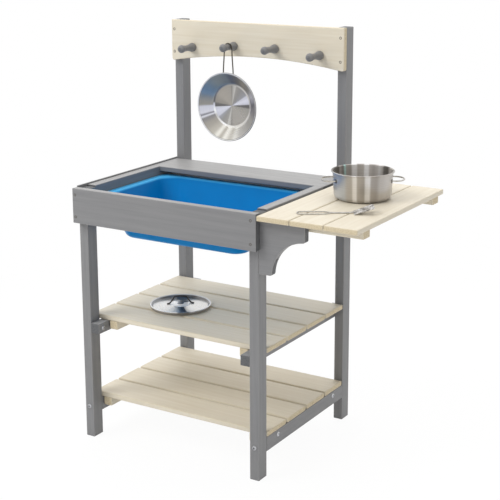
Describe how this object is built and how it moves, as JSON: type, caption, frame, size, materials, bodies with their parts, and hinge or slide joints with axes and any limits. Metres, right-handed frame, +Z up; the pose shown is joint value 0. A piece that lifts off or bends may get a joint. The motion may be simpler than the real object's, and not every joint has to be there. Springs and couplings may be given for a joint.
{
  "type": "mud kitchen",
  "caption": "Wooden outdoor play kitchen with a drop-in blue tub, slatted side table, two slatted shelves, an arched peg rail and steel cookware.",
  "frame": {"origin": "on the floor, at the middle of the overall width and depth", "axes": "+X to the right towards the side table, +Y to the rear towards the peg rail, +Z up"},
  "size_m": [0.743, 0.4596, 0.982],
  "materials": {
    "grey_glaze": "matte grey wood glaze",
    "cream_glaze": "matte cream wood glaze",
    "blue_plastic": "satin moulded polypropylene",
    "brushed_steel": "brushed stainless steel",
    "steel_wire": "bright drawn stainless steel wire",
    "zinc_plate": "bright zinc-plated steel"
  },
  "bodies": {
    "stand": {"front_leg_left": "grey_glaze", "front_leg_right": "grey_glaze", "rear_post_left": "grey_glaze", "rear_post_right": "grey_glaze", "front_board": "grey_glaze", "side_board_left": "grey_glaze", "side_board_right": "grey_glaze", "side_panel_left": "grey_glaze", "rear_ledge": "grey_glaze", "rear_apron": "grey_glaze", "tub_ledger_left": "grey_glaze", "tub_ledger_right": "grey_glaze", "tub_ledger_front": "grey_glaze", "table_slat_1": "cream_glaze", "table_slat_2": "cream_glaze", "table_slat_3": "cream_glaze", "table_batten_front": "cream_glaze", "table_batten_rear": "cream_glaze", "corbel_front": "grey_glaze", "corbel_rear": "grey_glaze", "peg_rail_board": "cream_glaze", "peg_1": "grey_glaze", "peg_2": "grey_glaze", "peg_3": "grey_glaze", "peg_4": "grey_glaze", "lower_shelf_slat_1": "cream_glaze", "lower_shelf_slat_2": "cream_glaze", "lower_shelf_slat_3": "cream_glaze", "lower_shelf_slat_4": "cream_glaze", "lower_shelf_rail_left": "grey_glaze", "lower_shelf_rail_right": "grey_glaze", "lower_shelf_batten_left": "cream_glaze", "lower_shelf_batten_right": "cream_glaze", "middle_shelf_slat_1": "cream_glaze", "middle_shelf_slat_2": "cream_glaze", "middle_shelf_slat_3": "cream_glaze", "middle_shelf_slat_4": "cream_glaze", "middle_shelf_rail_left": "grey_glaze", "middle_shelf_rail_right": "grey_glaze", "middle_shelf_batten_left": "cream_glaze", "middle_shelf_batten_right": "cream_glaze", "leg_bolt_left": "zinc_plate", "leg_bolt_right": "zinc_plate", "middle_rail_bolt_left": "zinc_plate", "middle_rail_bolt_right": "zinc_plate", "shelf_bolt_left_front": "zinc_plate", "shelf_bolt_left_rear": "zinc_plate", "shelf_bolt_right_front": "zinc_plate", "shelf_bolt_right_rear": "zinc_plate"},
    "tub": {"tub": "blue_plastic"},
    "pot": {"pot_body": "brushed_steel", "pot_handle_left": "steel_wire", "pot_handle_right": "steel_wire"},
    "lid": {"lid_disc": "brushed_steel", "lid_handle": "steel_wire"},
    "pan": {"pan_body": "brushed_steel", "pan_handle": "steel_wire"},
    "turner": {"turner_blade": "brushed_steel", "turner_handle": "steel_wire"}
  },
  "joints": [
    {"name": "tub_tilt", "type": "hinge", "parent": "stand", "child": "tub", "pos_m": [-0.1215, 0.11025, 0.597], "axis": [-1, 0, 0], "range_deg": [0, 14]},
    {"name": "pot_lift", "type": "slide", "parent": "stand", "child": "pot", "axis": [0, 0, 1], "range_m": [0, 0.15]},
    {"name": "lid_lift", "type": "slide", "parent": "stand", "child": "lid", "axis": [0, 0, 1], "range_m": [0, 0.12]},
    {"name": "turner_lift", "type": "slide", "parent": "stand", "child": "turner", "axis": [0, 0, 1], "range_m": [0, 0.15]},
    {"name": "pan_swing", "type": "hinge", "parent": "stand", "child": "pan", "pos_m": [-0.1801, 0.15375, 0.924], "axis": [0, -1, 0], "range_deg": [-25, 25]}
  ]
}
